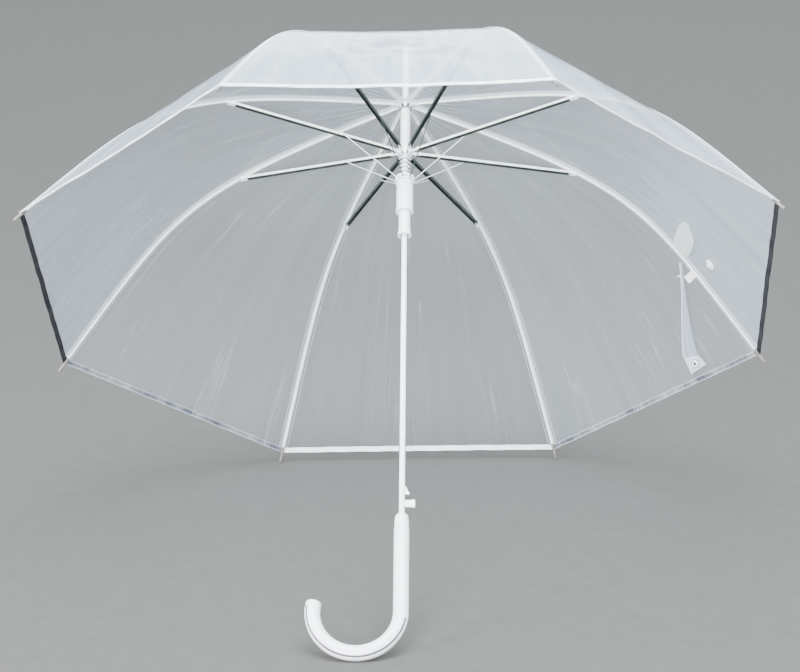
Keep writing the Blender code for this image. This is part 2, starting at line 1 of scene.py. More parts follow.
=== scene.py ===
"""Looks of the clear stick umbrella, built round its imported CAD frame.

Positions are worked out in the shaft's own frame: origin at the rib hinges, +Z up the shaft to
the ferrule, +X to the button's side. Each rib k has the same frame turned about the shaft.
"""

import json
import math

import bmesh
import bpy
from mathutils import Matrix, Vector, noise


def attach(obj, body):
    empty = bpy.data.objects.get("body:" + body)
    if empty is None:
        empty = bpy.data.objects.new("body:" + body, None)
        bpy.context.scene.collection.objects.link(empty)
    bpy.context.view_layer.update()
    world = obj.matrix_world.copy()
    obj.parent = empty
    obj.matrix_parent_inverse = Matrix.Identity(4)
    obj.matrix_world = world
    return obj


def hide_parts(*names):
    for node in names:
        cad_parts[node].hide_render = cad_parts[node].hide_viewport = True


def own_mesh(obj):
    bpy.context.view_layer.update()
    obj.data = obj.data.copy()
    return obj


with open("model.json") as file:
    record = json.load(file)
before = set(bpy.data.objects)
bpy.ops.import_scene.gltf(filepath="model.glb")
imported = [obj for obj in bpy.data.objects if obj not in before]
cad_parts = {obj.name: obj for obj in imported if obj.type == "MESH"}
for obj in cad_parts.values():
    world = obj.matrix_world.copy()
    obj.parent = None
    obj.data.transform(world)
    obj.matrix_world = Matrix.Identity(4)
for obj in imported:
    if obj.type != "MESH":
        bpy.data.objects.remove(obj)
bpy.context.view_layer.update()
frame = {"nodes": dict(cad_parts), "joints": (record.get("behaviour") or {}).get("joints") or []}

JOINTS = {joint["name"]: joint for joint in frame["joints"]}
NODES = frame["nodes"]
RIBS = 8
RIB_STEP = 2 * math.pi / RIBS
HALF_STEP = RIB_STEP / 2

# The same rib curve and film offset as the CAD part
RIB_CURVE = ((0.0063, 0.0004), (0.332, -0.053), (0.336, -0.0743), (0.500, -0.276))
ROD_RADIUS = 0.0016
TIP_LENGTH = 0.014
FILM_OFFSET = 0.0027
FILM_START_RADIUS = 0.0102
GAP = 0.0003

# The same stretcher and link pivots as the CAD part, in a rib's frame
HUB_PIVOT = Vector((0.0082, 0, -0.0720))
FORK = Vector((0.243, 0, -0.0500))
CHANNEL_SLOPE = math.atan2(FORK.z - HUB_PIVOT.z, FORK.x - HUB_PIVOT.x)
CHANNEL_LENGTH = (FORK - HUB_PIVOT).length
LINK_REACH = 0.078
LINK_DROP = 0.0014

# The same places beside the first rib as the CAD part: (t, side) on the film, but the snap's
# along and across the strap, and depths under the film
STRAP_ROOT = (0.745, 0.045)
STRAP_END = (0.979, 0.494)
STRAP_DEPTH = 0.0032
PATCH_PLACE = (0.730, 0.045)
STUD_PLACE = (0.835, 0.371)
SNAP_PLACE = (0.1405, 0.0040)
TAG_PLACE = (0.791, 0.074)
TAG_DEPTH = 0.0012

# The camera in the shaft's frame: its place, its right and down directions, and its lens in mm
CAMERA_PLACE = Vector((0.1569, -3.3429, -2.2103))
CAMERA_RIGHT = Vector((0.99902, 0.04337, 0.00864))
CAMERA_DOWN = Vector((-0.01355, 0.4862, -0.87374))
CAMERA_LENS = 136.3


def shaft_frame():
    """The shaft's frame in the row frame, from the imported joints."""
    hinges = [Vector(JOINTS[f"rib_hinge_{k}"]["pos_m"]) for k in range(1, RIBS + 1)]
    centre = sum(hinges, Vector()) / RIBS
    up = -Vector(JOINTS["runner_slide"]["axis"]).normalized()
    right = Vector((1, 0, 0))
    basis = Matrix((right, up.cross(right), up)).transposed().to_4x4()
    return Matrix.Translation(centre) @ basis


SHAFT = shaft_frame()


def rib_frame(k):
    """Rib k's frame: +X out along it, +Z up the shaft."""
    return SHAFT @ Matrix.Rotation(HALF_STEP + RIB_STEP * (k - 1), 4, "Z")


# ---------------------------------------------------------------- rib and film curves


def rib_point(t):
    """Centre line of a rib in (radius, height)."""
    weights = ((1 - t) ** 3, 3 * (1 - t) ** 2 * t, 3 * (1 - t) * t**2, t**3)
    return Vector([sum(w * p[axis] for w, p in zip(weights, RIB_CURVE)) for axis in (0, 1)])


def rib_tangent(t):
    """The direction of a rib's centre line in (radius, height)."""
    step = 0.001
    return (rib_point(min(t + step, 1.0)) - rib_point(max(t - step, 0.0))).normalized()


def film_surface(t, side):
    """The film in a rib's frame: side is 0 at the rib, and 1 or -1 at the middle of the gore."""
    radius, height = rib_point(t)
    along = rib_tangent(t)
    radius -= along.y * FILM_OFFSET
    height += along.x * FILM_OFFSET
    reach = radius * math.sin(HALF_STEP) * math.cos(HALF_STEP)
    return Vector((radius - abs(side) * radius * math.sin(HALF_STEP) ** 2, side * reach, height))


def film_normal(t, side):
    """Outward normal of the film in a rib's frame."""
    along = film_surface(min(t + 0.002, 1.0), side) - film_surface(max(t - 0.002, 0.0), side)
    across = film_surface(t, side + 0.01) - film_surface(t, side)
    return along.cross(across).normalized()


# Where the film begins on the rib curve
FILM_START = next(i / 2000 for i in range(2000) if rib_point(i / 2000)[0] > FILM_START_RADIUS)

# How far the middle of a gore's hem hangs out (+) or in (-) by its own weight
GORE_SAG = {1: 0.0010, 2: 0.0020, 3: 0.0010, 5: -0.0020, 6: -0.0050, 7: -0.0020}

# How strongly a gore is crumpled where it turns over towards the crown
GORE_CRUMPLE = {6: 0.0050}

# Stretchers and links painted dark as shade: seen from the open side they mirror only dark ground
SHADED_WALLS = (2, 3, 6, 7)
SHADED_LINKS = (6, 7)


def ripple(t, v, gore):
    """How far a gore's film stands off its straight lines: gathers at the crown, puckers at the rib
    tips, slack, a wavy hem, sag and crumples. v runs 0 to 1 from one rib to the next."""
    edge = math.sin(math.pi * v)
    crown = max(0.0, 1 - t / 0.22)
    gather = 0.0005 * crown * math.sin(2 * math.pi * 6 * v + gore)
    to_hem = 1 - t
    pucker = 0.0
    for corner, phase in ((v, 0.3), (1 - v, 1.7)):
        spread = math.atan2(corner + 0.02, to_hem + 0.02)
        fade = math.exp(-((to_hem / 0.12) ** 2) - (corner / 0.22) ** 2)
        pucker += min(1.0, corner * 9 + 0.2) * fade * math.sin(15 * spread + phase + 2.1 * gore)
    slack = noise.noise(Vector((2.2 * t, 6.0 * v, 7.3 * gore))) * 0.0014 * min(1.0, 4 * t)
    hem = math.exp(-((to_hem / 0.03) ** 2)) * math.sin(2 * math.pi * (6 * v + 0.37 * gore)) * 0.0003
    sag = GORE_SAG.get(gore, 0.0) * t * t * (3 - 2 * t)
    turn_over = math.exp(-(((t - 0.74) / 0.10) ** 2) - ((v - 0.55) / 0.25) ** 2)
    crumple = noise.noise(Vector((26 * t, 16 * v, 3.1 * gore))) * turn_over * GORE_CRUMPLE.get(gore, 0.0)
    return edge * (gather + 0.0012 * pucker + slack + hem + sag + crumple)


# ---------------------------------------------------------------- materials


def new_material(name, base, roughness, metallic=0.0, coat=0.0, ior=1.5):
    """A Principled material; returns it with its tree and shader."""
    material = bpy.data.materials.new(name)
    material.use_nodes = True
    tree = material.node_tree
    shader = tree.nodes["Principled BSDF"]
    shader.inputs["Base Color"].default_value = (*base, 1)
    shader.inputs["Roughness"].default_value = roughness
    shader.inputs["Metallic"].default_value = metallic
    shader.inputs["Coat Weight"].default_value = coat
    shader.inputs["IOR"].default_value = ior
    return material, tree, shader


def node(tree, kind, **values):
    """A node with its inputs and settings filled in. A key that is an input's name sets that input."""
    made = tree.nodes.new(kind)
    for key, value in values.items():
        title = key.replace("_", " ")
        if title in made.inputs:
            made.inputs[title].default_value = value
        else:
            setattr(made, key, value)
    return made


def noise_field(tree, scale, detail=3.0, roughness=0.5, stretch=(1, 1, 1)):
    """Noise in the piece's own coordinates."""
    place = node(tree, "ShaderNodeTexCoord")
    mapping = node(tree, "ShaderNodeMapping")
    mapping.inputs["Scale"].default_value = stretch
    field = node(tree, "ShaderNodeTexNoise", Scale=scale, Detail=detail, Roughness=roughness)
    tree.links.new(place.outputs["Object"], mapping.inputs["Vector"])
    tree.links.new(mapping.outputs["Vector"], field.inputs["Vector"])
    return field.outputs["Fac"]


def noise_on(tree, vector, stretch, detail):
    """Noise on a stretched vector."""
    mapping = node(tree, "ShaderNodeMapping")
    mapping.inputs["Scale"].default_value = stretch
    field = node(tree, "ShaderNodeTexNoise", Scale=1.0, Detail=detail, Roughness=0.5)
    tree.links.new(vector, mapping.inputs["Vector"])
    tree.links.new(mapping.outputs["Vector"], field.inputs["Vector"])
    return field.outputs["Fac"]


def math_node(tree, operation, first, second=None):
    """One sum; either side may be a plain number."""
    made = node(tree, "ShaderNodeMath", operation=operation)
    for socket, value in zip(made.inputs, (first, second)):
        if value is None:
            continue
        if isinstance(value, (int, float)):
            socket.default_value = value
        else:
            tree.links.new(value, socket)
    return made.outputs[0]


def ramp(tree, source, stops):
    """A colour ramp fed by a value."""
    made = node(tree, "ShaderNodeValToRGB")
    elements = made.color_ramp.elements
    while len(elements) < len(stops):
        elements.new(0.5)
    for element, (place, colour) in zip(elements, stops):
        element.position = place
        element.color = (*colour, 1) if len(colour) == 3 else colour
    tree.links.new(source, made.inputs["Fac"])
    return made.outputs["Color"]


def to_range(tree, source, low, high, from_low=0.0, from_high=1.0):
    """A value moved to another range."""
    made = node(tree, "ShaderNodeMapRange")
    for key, value in (("From Min", from_low), ("From Max", from_high), ("To Min", low), ("To Max", high)):
        made.inputs[key].default_value = value
    tree.links.new(source, made.inputs["Value"])
    return made.outputs["Result"]


def add_bump(tree, shader, height, strength, distance):
    """A fine relief on the shader's surface."""
    bump = node(tree, "ShaderNodeBump", Strength=strength, Distance=distance)
    tree.links.new(height, bump.inputs["Height"])
    tree.links.new(bump.outputs["Normal"], shader.inputs["Normal"])


def mottled(name, light, dark, roughness, scale=60.0, metallic=0.0, coat=0.0, stretch=(1, 1, 1), edge=None):
    """A surface with faint patches of a second tone, uneven gloss and a fine skin. An edge colour, if
    given, darkens it towards its outline, a painted reflection of dark surroundings."""
    material, tree, shader = new_material(name, light, roughness, metallic, coat)
    patches = noise_field(tree, scale, 4.0, 0.6, stretch)
    stops = [(0.35, dark), (0.62, light)]
    if edge:
        # Painted reflection: darker towards the outline, where a polished bar mirrors its dark surroundings
        facing = node(tree, "ShaderNodeLayerWeight", Blend=0.5)
        kept = to_range(tree, facing.outputs["Facing"], 1.0, 0.0, 0.34, 0.62)
        patches = math_node(tree, "MULTIPLY", patches, kept)
        stops.insert(0, (0.08, edge))
    tree.links.new(ramp(tree, patches, stops), shader.inputs["Base Color"])
    gloss = noise_field(tree, scale * 2.3, 3.0, 0.5, stretch)
    uneven = to_range(tree, gloss, roughness - 0.04, roughness + 0.08)
    tree.links.new(uneven, shader.inputs["Roughness"])
    skin = noise_field(tree, 900.0, 2.0, 0.5, stretch)
    add_bump(tree, shader, skin, 0.25, 0.0002)
    return material


def stretch_lines(tree, strength):
    """Long noise along the film, as (fine creases, broad streaks, a few painted highlight lines along
    creases from crown to hem).
    It reads the "gore" attribute: gore number plus share across, and t along."""
    place = node(tree, "ShaderNodeAttribute", attribute_name="gore").outputs["Vector"]
    streaks = noise_on(tree, place, (17.0, 1.3, 1.0), 2.0)
    creases = noise_on(tree, place, (31.0, 1.1, 1.0), 0.5)
    chosen = noise_on(tree, place, (9.0, 1.9, 1.0), 1.0)
    # Painted highlights: pale, denser lines along a few creases, stronger towards the crown
    ridge = math_node(tree, "ABSOLUTE", math_node(tree, "SUBTRACT", creases, 0.5))
    line = to_range(tree, ridge, strength, 0.0, 0.0, 0.016)
    split = node(tree, "ShaderNodeSeparateXYZ")
    tree.links.new(place, split.inputs[0])
    crown = to_range(tree, split.outputs["Y"], 1.0, 0.35, 0.05, 0.75)
    where = to_range(tree, chosen, 0.05, 1.0, 0.46, 0.60)
    line = math_node(tree, "MULTIPLY", math_node(tree, "MULTIPLY", line, crown), where)
    return creases, streaks, line


def film_material(name, tint, alphas, roughness, lines=0.40, cloud_spread=0.10, lift=0.12, gloss=0.8):
    """Clear flexible film. alphas is how dense it looks face on and at a slant, lines is the strength of
    its painted highlight lines along the creases, and lift is how much paler than the tint they are."""
    material, tree, shader = new_material(name, tint, roughness, ior=1.53)
    shader.inputs["Specular IOR Level"].default_value = gloss
    facing = node(tree, "ShaderNodeLayerWeight", Blend=0.42)
    slant = to_range(tree, math_node(tree, "POWER", facing.outputs["Facing"], 1.6), *alphas)
    creases, streaks, line = stretch_lines(tree, lines)
    cloud = noise_field(tree, 5.0, 2.0, 0.5)
    uneven = to_range(tree, cloud, 1 - cloud_spread, 1 + cloud_spread, 0.3, 0.7)
    streaky = to_range(tree, streaks, 0.93, 1.08, 0.35, 0.65)
    body = math_node(tree, "MULTIPLY", math_node(tree, "MULTIPLY", slant, uneven), streaky)
    total = math_node(tree, "ADD", body, line)
    total.node.use_clamp = True
    tree.links.new(total, shader.inputs["Alpha"])
    plain = [0.97 * c for c in tint]
    pale = [c + lift * (1 - c) for c in tint]
    mixed = ramp(tree, math_node(tree, "ADD", streaks, line), [(0.35, plain), (0.75, pale)])
    tree.links.new(mixed, shader.inputs["Base Color"])
    add_bump(tree, shader, math_node(tree, "ADD", creases, streaks), 0.25, 0.0005)
    return material


# The canopy's film, and its hems and weld lines
FILM = film_material("canopy_film", (0.66, 0.81, 0.96), (0.06, 0.97), 0.07, lines=0.30)
# The hems' tones are painted reflections: bright, grey with a paler painted glint on its raised edges, and
# near black, by what each hem mirrors
HEM_PAINTED_BRIGHT = film_material(
    "hem_film_painted_bright", (0.95, 0.97, 1.0), (0.90, 0.99), 0.12, lines=0.5, cloud_spread=0.05
)
HEM_PAINTED_GREY = film_material(
    "hem_film_painted_grey", (0.09, 0.10, 0.13), (0.80, 0.92), 0.20, lines=0.7, lift=0.30, gloss=0.4
)
HEM_PAINTED_GLINT = film_material("hem_painted_glint_film", (0.42, 0.48, 0.56), (0.80, 0.95), 0.20, lines=0.5)
HEM_PAINTED_DARK = film_material(
    "hem_film_painted_dark",
    (0.012, 0.012, 0.016),
    (0.96, 0.99),
    0.50,
    lines=0.05,
    cloud_spread=0.02,
    lift=0.02,
    gloss=0.2,
)
SEAM = film_material("seam_film", (0.92, 0.95, 0.97), (0.42, 0.92), 0.14)

# The closure strap's film
STRAP = film_material("strap_film", (0.40, 0.46, 0.58), (0.52, 0.90), 0.22, lines=0.3, lift=0.15)
TAB = film_material("strap_tab_film", (0.66, 0.71, 0.78), (0.75, 0.95), 0.20)
WELT = film_material("strap_welt_film", (0.90, 0.92, 0.95), (0.85, 0.97), 0.20)
PATCH = film_material("patch_film", (0.80, 0.91, 0.91), (0.70, 0.92), 0.22)

# Plastic, enamel, metal and paper
PLASTIC = mottled("white_plastic", (0.94, 0.96, 0.99), (0.90, 0.92, 0.96), 0.22, coat=0.4)
# The shaft's enamel, with a painted reflection of dark surroundings towards its outline
ENAMEL = mottled(
    "white_enamel",
    (0.93, 0.94, 0.96),
    (0.88, 0.90, 0.92),
    0.16,
    35.0,
    coat=0.1,
    stretch=(1, 1, 0.2),
    edge=(0.10, 0.11, 0.12),
)
WIRE = mottled("wire_enamel", (0.88, 0.90, 0.87), (0.78, 0.80, 0.76), 0.30, 90.0)
ROD = mottled("rib_enamel", (0.90, 0.91, 0.86), (0.80, 0.82, 0.76), 0.30, 45.0)
CHANNEL = mottled("channel_enamel", (0.84, 0.88, 0.84), (0.72, 0.77, 0.72), 0.32, 70.0)
# Painted shade: near black inside the channels, on their lower edges and rolled lips, and on the shaded
# walls and links
CHANNEL_SHADE = mottled("channel_painted_shade", (0.035, 0.050, 0.042), (0.012, 0.018, 0.015), 0.45, 80.0)
TIP = mottled("tip_plastic", (0.20, 0.185, 0.165), (0.14, 0.13, 0.115), 0.45, 200.0)
STEEL = mottled("spring_steel", (0.55, 0.56, 0.58), (0.40, 0.41, 0.43), 0.28, 80.0, metallic=1.0)
PAPER = mottled("tag_paper", (0.90, 0.90, 0.90), (0.82, 0.82, 0.83), 0.60, 300.0)
# Painted shade: a grey for grooves and slots, the undersides of the spring's coils and the neck's rings,
# and the shadow round the snap's ring
SHADE_GREY = mottled("painted_shade_grey", (0.27, 0.28, 0.31), (0.21, 0.22, 0.25), 0.4, 60.0)
# Painted shade in the crook's grooves
CROOK_GROOVE_SHADE = mottled("crook_groove_shade", (0.15, 0.15, 0.18), (0.11, 0.11, 0.13), 0.5, 60.0)
# Painted shade in the snap's well
SNAP_WELL_SHADE = mottled("snap_well_shade", (0.10, 0.10, 0.11), (0.05, 0.05, 0.06), 0.5, 300.0)


# ---------------------------------------------------------------- mesh helpers


def piece(name, bm, material, body, angle=35, second=None):
    """A finished mesh, in the row frame, that rides on a CAD body."""
    mesh = bpy.data.meshes.new(name)
    bm.to_mesh(mesh)
    bm.free()
    mesh.materials.append(material)
    if second is not None:
        mesh.materials.append(second)
    mesh.shade_smooth()
    mesh.set_sharp_from_angle(angle=math.radians(angle))
    obj = bpy.data.objects.new(name, mesh)
    bpy.context.scene.collection.objects.link(obj)
    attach(obj, body)
    return obj


def loft(bm, rings, closed_ring=True):
    """Faces between rings of points, each ring a list of the same length. Closed rings get end caps."""
    rows = [[bm.verts.new(point) for point in ring] for ring in rings]
    count = len(rows[0])
    last = count if closed_ring else count - 1
    for upper, lower in zip(rows, rows[1:]):
        for i in range(last):
            j = (i + 1) % count
            bm.faces.new((upper[i], upper[j], lower[j], lower[i]))
    if closed_ring:
        bm.faces.new(list(reversed(rows[0])))
        bm.faces.new(rows[-1])
    return rows


def tube(bm, points, radii, sides, matrix=None):
    """A round tube along points, without twist."""
    points = [Vector(p) for p in points]
    if matrix is not None:
        points = [matrix @ p for p in points]
    rings = []
    normal = None
    for i, point in enumerate(points):
        ahead = points[min(i + 1, len(points) - 1)]
        behind = points[max(i - 1, 0)]
        along = (ahead - behind).normalized()
        if normal is None:
            normal = along.orthogonal().normalized()
        normal = (normal - along * normal.dot(along)).normalized()
        other = along.cross(normal)
        radius = radii[i] if hasattr(radii, "__len__") else radii
        ring = []
        for s in range(sides):
            angle = 2 * math.pi * s / sides
            ring.append(point + (normal * math.cos(angle) + other * math.sin(angle)) * radius)
        rings.append(ring)
    loft(bm, rings)


def lathe(bm, outline, matrix, sides=48):
    """A turned solid from (radius, height) points, with flat ends."""
    rings = []
    for radius, height in outline:
        ring = []
        for s in range(sides):
            angle = 2 * math.pi * s / sides
            ring.append(matrix @ Vector((radius * math.cos(angle), radius * math.sin(angle), height)))
        rings.append(ring)
    loft(bm, rings)


def tidy_normals(bm):
    """The same mesh with every face turned outwards."""
    bmesh.ops.recalc_face_normals(bm, faces=bm.faces)
    return bm


# ---------------------------------------------------------------- canopy


def mark(bm, rows, places):
    """Fill the "gore" attribute that the film's stretch lines follow, one place for each vertex."""
    layer = bm.verts.layers.float_vector.get("gore") or bm.verts.layers.float_vector.new("gore")
    for row, ring in zip(rows, places):
        for vert, place in zip(row, ring):
            vert[layer] = Vector((*place, 0))


def gore_of(k, side):
    """The gore that one side of rib k belongs to."""
    return k if side == "a" else (k - 2) % RIBS + 1


def leaf(k, side):
    """One half panel of the canopy on one side of rib k, as part of one continuous sheet."""
    sign = 1 if side == "a" else -1
    gore = gore_of(k, side)
    matrix = rib_frame(k)
    rows, columns = 64, 24
    bm = bmesh.new()
    bm.verts.layers.float_vector.new("gore")
    rings = []
    places = []
    for i in range(rows + 1):
        t = FILM_START + (1 - FILM_START) * i / rows
        ring = []
        spots = []
        for j in range(columns + 1):
            share = j / columns
            v = share / 2 if side == "a" else 1 - share / 2
            point = film_surface(t, sign * share)
            point += film_normal(t, sign * max(share, 0.001)) * ripple(t, v, gore)
            ring.append(matrix @ point)
            spots.append((gore + v, t))
        rings.append(ring if sign > 0 else list(reversed(ring)))
        places.append(spots if sign > 0 else list(reversed(spots)))
    mark(bm, loft(bm, rings, closed_ring=False), places)
    return bm


def strip(bm, path, width_dirs, normals, width, thickness, places, index=0):
    """A thin flat strip along a path, with a direction across, a normal and a film place at each point."""
    rings = []
    for point, across, normal in zip(path, width_dirs, normals):
        half = normal * (thickness / 2)
        bead = normal * (thickness * 0.5)
        rings.append(
            [
                point - half,
                point + half,
                point + across * (width * 0.22) + half + bead,
                point + across * (width * 0.55) + half,
                point + across * width + half,
                point + across * width - half,
                point + across * (width * 0.5) - half,
            ]
        )
    before = len(bm.faces)
    mark(bm, loft(bm, rings), [[place] * 7 for place in places])
    bm.faces.ensure_lookup_table()
    for face in bm.faces[before:]:
        face.material_index = index


# A hem is a wide band between two raised edges: inset, width, thickness and material of each
HEM_STRIPS = ((0.0, 0.0068, 0.0006, 0), (-0.0003, 0.0012, 0.0011, 1), (0.0058, 0.0010, 0.0009, 1))

# The weld lines beside a rib: distance from it and width
SEAM_STRIPS = ((0.0004, 0.0028), (0.0056, 0.0005))


def hem_mesh(k, side):
    """The folded and welded hem of one half panel."""
    sign = 1 if side == "a" else -1
    gore = gore_of(k, side)
    matrix = rib_frame(k)
    turn = matrix.to_3x3()
    bm = bmesh.new()
    bm.verts.layers.float_vector.new("gore")
    steps = 44
    for inset, width, thickness, index in HEM_STRIPS:
        path, across, normals, places = [], [], [], []
        for j in range(steps + 1):
            share = j / steps
            v = share / 2 if side == "a" else 1 - share / 2
            outward = film_normal(1.0, sign * max(share, 0.001))
            here = film_surface(1.0, sign * share) + outward * ripple(1.0, v, gore)
            back = (film_surface(0.985, sign * share) - film_surface(1.0, sign * share)).normalized()
            wave = 0.0002 * math.sin(2 * math.pi * 9 * v + gore)
            path.append(matrix @ (here + back * (inset - 0.0004 - wave)))
            across.append(turn @ back)
            normals.append(turn @ outward)
            places.append((gore + v, 1.0 - 0.02 * index))
        strip(bm, path, across, normals, width, thickness, places, index)
    return tidy_normals(bm)


def seam_mesh(k, side):
    """The weld lines beside the rib on one half panel."""
    sign = 1 if side == "a" else -1
    matrix = rib_frame(k)
    turn = matrix.to_3x3()
    bm = bmesh.new()
    bm.verts.layers.float_vector.new("gore")
    for inner, width in SEAM_STRIPS:
        path, across, normals, places = [], [], [], []
        for i in range(61):
            t = FILM_START + (0.992 - FILM_START) * i / 60
            reach = film_surface(t, 1.0).y
            near = min(0.9, inner / max(reach, 0.001))
            outward = film_normal(t, sign * max(near, 0.001))
            here = film_surface(t, sign * near)
            there = film_surface(t, sign * min(1.0, near + 0.05))
            path.append(matrix @ (here + outward * 0.0002))
            across.append(turn @ (there - here).normalized())
            normals.append(turn @ outward)
            places.append((k + 0.02 * sign, t))
        strip(bm, path, across, normals, width, 0.0004, places)
    return tidy_normals(bm)


def flatten(obj):
    """Gives a soft piece its own copy of its mesh."""
    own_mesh(obj)


def hem_material(gore):
    """The hems' tones are painted reflections: what each one mirrors differs from side to side."""
    if gore in (4, 8):
        return HEM_PAINTED_DARK
    if gore in (1, 3):
        return HEM_PAINTED_GREY
    return HEM_PAINTED_BRIGHT


def build_canopy():
    """Sixteen half panels, each with its hem and weld lines."""
    width = film_surface(1.0, 1.0).y / math.cos(HALF_STEP)
    for k in range(1, RIBS + 1):
        for side in "ab":
            gore = gore_of(k, side)
            body = f"film_body_{k}{side}"
            tone = hem_material(gore)
            # The grey hems' raised edges get a paler painted glint; the other hems' edges keep their
            # painted reflection
            edge = {HEM_PAINTED_DARK: HEM_PAINTED_DARK, HEM_PAINTED_GREY: HEM_PAINTED_GLINT}.get(tone, HEM_PAINTED_BRIGHT)
            sheet = piece(f"canopy_film_{k}{side}", leaf(k, side), FILM, body, 180)
            hem = piece(f"canopy_hem_{k}{side}", hem_mesh(k, side), tone, body, 50, edge)
            seam = piece(f"canopy_seam_{k}{side}", seam_mesh(k, side), SEAM, body, 50)
            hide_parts(f"film_panel_{k}{side}")
            for obj in (sheet, hem, seam):
                flatten(obj)


# A rib's tip cap: distance past the film's corner along the rib, and radius
TIP_PROFILE = (
    (-0.0081, 0.00175),
    (-0.0080, 0.0021),
    (-0.0030, 0.0021),
    (-0.0006, 0.0022),
    (-0.0002, 0.00175),
    (0.0012, 0.00175),
    (0.0016, 0.0022),
    (0.0060, 0.0020),
    (0.0120, 0.00195),
    (0.0134, 0.0016),
    (TIP_LENGTH, 0.0009),
)


def rod_mesh(k):
    """A rib's rod, a little thinner towards its tip."""
    steps = 64
    points = []
    radii = []
    for i in range(steps + 1):
        radius, height = rib_point(i / steps)
        points.append((radius, 0, height))
        radii.append(ROD_RADIUS + 0.0001 * min(1.0, i / 6) - 0.0004 * i / steps)
    bm = bmesh.new()
    tube(bm, points, radii, 16, rib_frame(k))
    return tidy_normals(bm)


def tip_mesh(k):
    """The plastic cap on a rib's end, which the film's corner is tied to."""
    corner = rib_point(1.0)
    along = rib_tangent(1.0)
    points = [(corner.x + along.x * d, 0, corner.y + along.y * d) for d, _ in TIP_PROFILE]
    bm = bmesh.new()
    tube(bm, points, [radius for _, radius in TIP_PROFILE], 20, rib_frame(k))
    return tidy_normals(bm)


def build_ribs():
    """Eight rods with their tip caps."""
    for k in range(1, RIBS + 1):
        rod = piece(f"rib_rod_{k}", rod_mesh(k), ROD, f"rib_body_{k}")
        cap = piece(f"rib_tip_{k}", tip_mesh(k), TIP, f"rib_body_{k}")
        flatten(rod)
        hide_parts(f"rib_{k}")
        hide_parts(f"rib_{k}")


# ---------------------------------------------------------------- shaft, runner and handle

# The crook handle: heights of its top and of its bend's start, then the bend's radius and sweep
GRIP_TOP = -0.6173
CROOK_START = -0.7276
CROOK_RADIUS = 0.0534
CROOK_SWEEP = math.radians(191)
GRIP_RADIUS = 0.0096

# The handle's mould grooves: their angles round the bar and their depth
GROOVE_ANGLES = (math.pi - 0.68, math.pi + 0.68)
GROOVE_DEPTH = 0.0009


def crook_path():
    """The grip's centre line, and how much of its radius it has at each point."""
    path = [(0, 0, GRIP_TOP), (0, 0, GRIP_TOP - 0.0008)]
    path += [(0, 0, GRIP_TOP + (CROOK_START - GRIP_TOP) * i / 12) for i in range(1, 13)]
    steps = 56
    for i in range(1, steps + 1):
        angle = CROOK_SWEEP * i / steps
        height = CROOK_START - CROOK_RADIUS * math.sin(angle)
        path.append((-CROOK_RADIUS * (1 - math.cos(angle)), 0, height))
    path = [Vector(point) for point in path]
    leaving = Vector((-math.sin(CROOK_SWEEP), 0, -math.cos(CROOK_SWEEP)))
    end = path[-1]
    dome = [(0.0008, 1.0), (0.0020, 0.985), (0.0030, 0.93), (0.0037, 0.84), (0.0041, 0.70), (0.0042, 0.5)]
    path += [end + leaving * distance for distance, _ in dome]
    return path, [0.93, 1.0] + [1.0] * (12 + steps) + [share for _, share in dome]


def groove_distance(angle):
    """How far round the bar an angle is from the nearer groove."""
    return min(abs(angle - line) for line in GROOVE_ANGLES)


def build_crook():
    """The grip: a round bar with a rounded end and two mould grooves outside its bend."""
    path, scale = crook_path()
    count = len(path)
    sides = 96
    sideways = Vector((0, 1, 0))
    rings = []
    for i, point in enumerate(path):
        along = (path[min(i + 1, count - 1)] - path[max(i - 1, 0)]).normalized()
        out = along.cross(sideways) * -1
        bend_share = min(1.0, max(0.0, (i - 12) / 8)) * min(1.0, max(0.0, (count - 7 - i) / 3))
        ring = []
        for s in range(sides):
            angle = 2 * math.pi * s / sides
            share = min(1.0, max(0.0, (0.19 - groove_distance(angle)) / 0.06))
            radius = (GRIP_RADIUS - GROOVE_DEPTH * share * bend_share) * scale[i]
            ring.append(SHAFT @ (point + (out * math.cos(angle) + sideways * math.sin(angle)) * radius))
        rings.append(ring)
    bm = bmesh.new()
    loft(bm, rings)
    bm.faces.ensure_lookup_table()
    # Painted shade: the faces in the grooves get the dark grey
    for row in range(16, count - 8):
        for s in range(sides):
            if groove_distance(2 * math.pi * (s + 0.5) / sides) < 0.15:
                bm.faces[row * sides + s].material_index = 1
    grip = piece("crook_grip", tidy_normals(bm), PLASTIC, "shaft", 60, CROOK_GROOVE_SHADE)
    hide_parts("handle_crook")


def shade_below(bm, limit):
    """Painted shade: greyer paint on the faces that look down the shaft, away from the light."""
    down = SHAFT.to_3x3() @ Vector((0, 0, 1))
    bm.normal_update()
    for face in bm.faces:
        if face.normal.dot(down) < limit:
            face.material_index = 1


def build_spring():
    """The kick spring, a round wire coil with closed ends."""
    radius, wire = 0.0057, 0.0013
    top, bottom, pitch = -0.0791, -0.1500, 0.0062
    turns = (top - bottom) / pitch
    per_turn = 28
    count = int(turns * per_turn)
    points = []
    for i in range(count + 1):
        angle = 2 * math.pi * i / per_turn
        points.append((radius * math.cos(angle), radius * math.sin(angle), top - pitch * i / per_turn))
    bm = bmesh.new()
    tube(bm, points, wire, 10, SHAFT)
    tidy_normals(bm)
    # Painted shade on the undersides of the coils
    shade_below(bm, -0.60)
    spring = piece("kick_spring_coil", bm, PLASTIC, "hub", 35, SHADE_GREY)
    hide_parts("kick_spring")
    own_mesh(spring)


